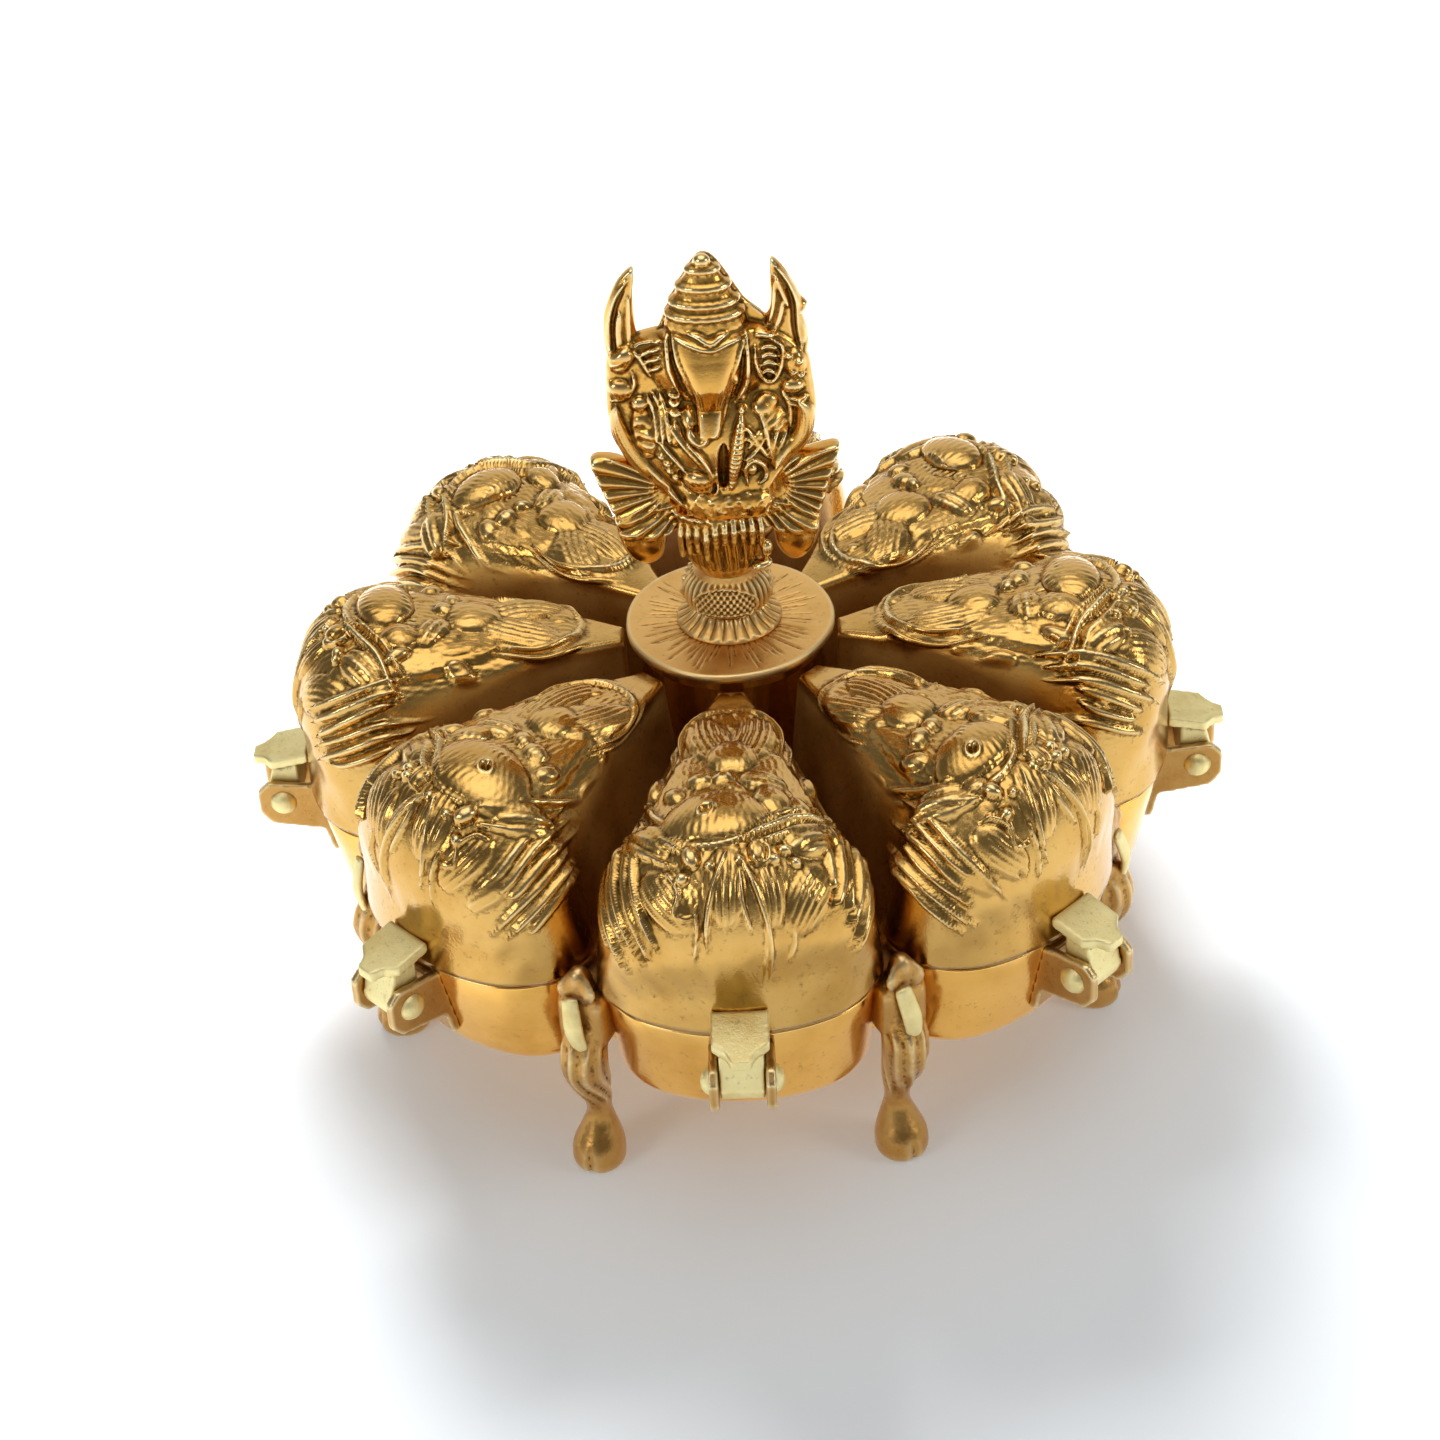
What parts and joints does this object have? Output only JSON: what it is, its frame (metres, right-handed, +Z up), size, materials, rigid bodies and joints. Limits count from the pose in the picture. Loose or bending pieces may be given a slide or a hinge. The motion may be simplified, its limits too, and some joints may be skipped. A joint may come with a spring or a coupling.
{
  "type": "kumkum box",
  "caption": "Footed round brass box of petal-shaped compartments, each under a domed lid hinged at the outside, round a screwed figure finial that clamps a locking disc.",
  "frame": {"origin": "on the table, under the middle of the box", "axes": "+Z up along the clamping rod; -Y is the front, where the figure looks and lid_1 is; numbers run counter-clockwise from above"},
  "size_m": [0.18, 0.18, 0.144],
  "materials": {
    "cast_brass": "satin cast brass, warm tan gold",
    "chased_brass": "chased relief with dark grooves and polished high spots",
    "filed_brass": "pale, freshly filed",
    "aged_brass": "dark aged cast brass, worn pale on the high spots",
    "turned_brass": "turned on a lathe"
  },
  "bodies": {
    "root": {"base_plate": "cast_brass", "column": "cast_brass", "clamping_rod": "turned_brass", "rod_nut": "turned_brass", "cup_1": "cast_brass", "hinge_bracket_1": "aged_brass", "hinge_pin_1": "filed_brass", "leg_1": "aged_brass", "cup_2": "cast_brass", "hinge_bracket_2": "aged_brass", "hinge_pin_2": "filed_brass", "leg_2": "aged_brass", "cup_3": "cast_brass", "hinge_bracket_3": "aged_brass", "hinge_pin_3": "filed_brass", "leg_3": "aged_brass", "cup_4": "cast_brass", "hinge_bracket_4": "aged_brass", "hinge_pin_4": "filed_brass", "leg_4": "aged_brass", "cup_5": "cast_brass", "hinge_bracket_5": "aged_brass", "hinge_pin_5": "filed_brass", "leg_5": "aged_brass", "cup_6": "cast_brass", "hinge_bracket_6": "aged_brass", "hinge_pin_6": "filed_brass", "leg_6": "aged_brass", "cup_7": "cast_brass", "hinge_bracket_7": "aged_brass", "hinge_pin_7": "filed_brass", "leg_7": "aged_brass", "cup_8": "cast_brass", "hinge_bracket_8": "aged_brass", "hinge_pin_8": "filed_brass", "leg_8": "aged_brass"},
    "lid_1_body": {"lid_1": "chased_brass", "hinge_leaf_1": "filed_brass"},
    "lid_2_body": {"lid_2": "chased_brass", "hinge_leaf_2": "filed_brass"},
    "lid_3_body": {"lid_3": "chased_brass", "hinge_leaf_3": "filed_brass"},
    "lid_4_body": {"lid_4": "chased_brass", "hinge_leaf_4": "filed_brass"},
    "lid_5_body": {"lid_5": "chased_brass", "hinge_leaf_5": "filed_brass"},
    "lid_6_body": {"lid_6": "chased_brass", "hinge_leaf_6": "filed_brass"},
    "lid_7_body": {"lid_7": "chased_brass", "hinge_leaf_7": "filed_brass"},
    "lid_8_body": {"lid_8": "chased_brass", "hinge_leaf_8": "filed_brass"},
    "disc": {"locking_disc": "turned_brass"},
    "finial": {"finial_stem": "aged_brass", "lotus_seat": "aged_brass", "finial_figure": "aged_brass"}
  },
  "joints": [
    {"name": "lid_1_hinge", "type": "hinge", "parent": "root", "child": "lid_1_body", "pos_m": [0, -0.085, 0.0367], "axis": [1, 0, 0], "range_deg": [0, 110]},
    {"name": "lid_2_hinge", "type": "hinge", "parent": "root", "child": "lid_2_body", "pos_m": [0.0601, -0.0601, 0.0367], "axis": [0.7071, 0.7071, 0], "range_deg": [0, 110]},
    {"name": "lid_3_hinge", "type": "hinge", "parent": "root", "child": "lid_3_body", "pos_m": [0.085, 0, 0.0367], "axis": [0, 1, 0], "range_deg": [0, 110]},
    {"name": "lid_4_hinge", "type": "hinge", "parent": "root", "child": "lid_4_body", "pos_m": [0.0601, 0.0601, 0.0367], "axis": [-0.7071, 0.7071, 0], "range_deg": [0, 110]},
    {"name": "lid_5_hinge", "type": "hinge", "parent": "root", "child": "lid_5_body", "pos_m": [0, 0.085, 0.0367], "axis": [-1, 0, 0], "range_deg": [0, 110]},
    {"name": "lid_6_hinge", "type": "hinge", "parent": "root", "child": "lid_6_body", "pos_m": [-0.0601, 0.0601, 0.0367], "axis": [-0.7071, -0.7071, 0], "range_deg": [0, 110]},
    {"name": "lid_7_hinge", "type": "hinge", "parent": "root", "child": "lid_7_body", "pos_m": [-0.085, 0, 0.0367], "axis": [0, -1, 0], "range_deg": [0, 110]},
    {"name": "lid_8_hinge", "type": "hinge", "parent": "root", "child": "lid_8_body", "pos_m": [-0.0601, -0.0601, 0.0367], "axis": [0.7071, -0.7071, 0], "range_deg": [0, 110]},
    {"name": "disc_lift", "type": "slide", "parent": "root", "child": "disc", "axis": [0, 0, 1], "range_m": [0, 0.009]},
    {"name": "finial_turn", "type": "hinge", "parent": "disc", "child": "finial", "pos_m": [0, 0, 0.071], "axis": [0, 0, 1], "range_deg": [0, 2160]}
  ],
  "couplings": [
    {"joint": "disc_lift", "follows": "finial_turn", "m_per_rad": 0.00023873}
  ]
}
